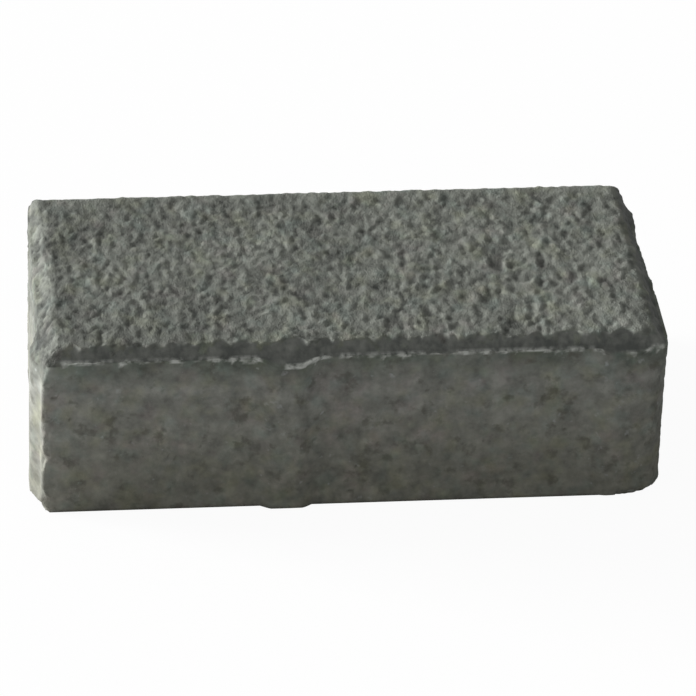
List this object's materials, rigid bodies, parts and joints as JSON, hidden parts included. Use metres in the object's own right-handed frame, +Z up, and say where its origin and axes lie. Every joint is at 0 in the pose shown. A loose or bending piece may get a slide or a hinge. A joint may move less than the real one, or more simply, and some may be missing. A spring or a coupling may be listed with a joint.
{
  "type": "concrete paver",
  "caption": "Rectangular concrete paving block with a rough wear face, a bevelled rim and spacer nibs on its sides that hold the joint open when it is laid.",
  "frame": {"origin": "middle of the bed face, on the floor the paver lies on", "axes": "+X along the length, +Y across the width, +Z up out of the wear face"},
  "size_m": [0.206, 0.106, 0.06],
  "materials": {
    "concrete": "rough granular concrete, dark grey"
  },
  "bodies": {
    "root": {"paver": "concrete"}
  },
  "joints": []
}
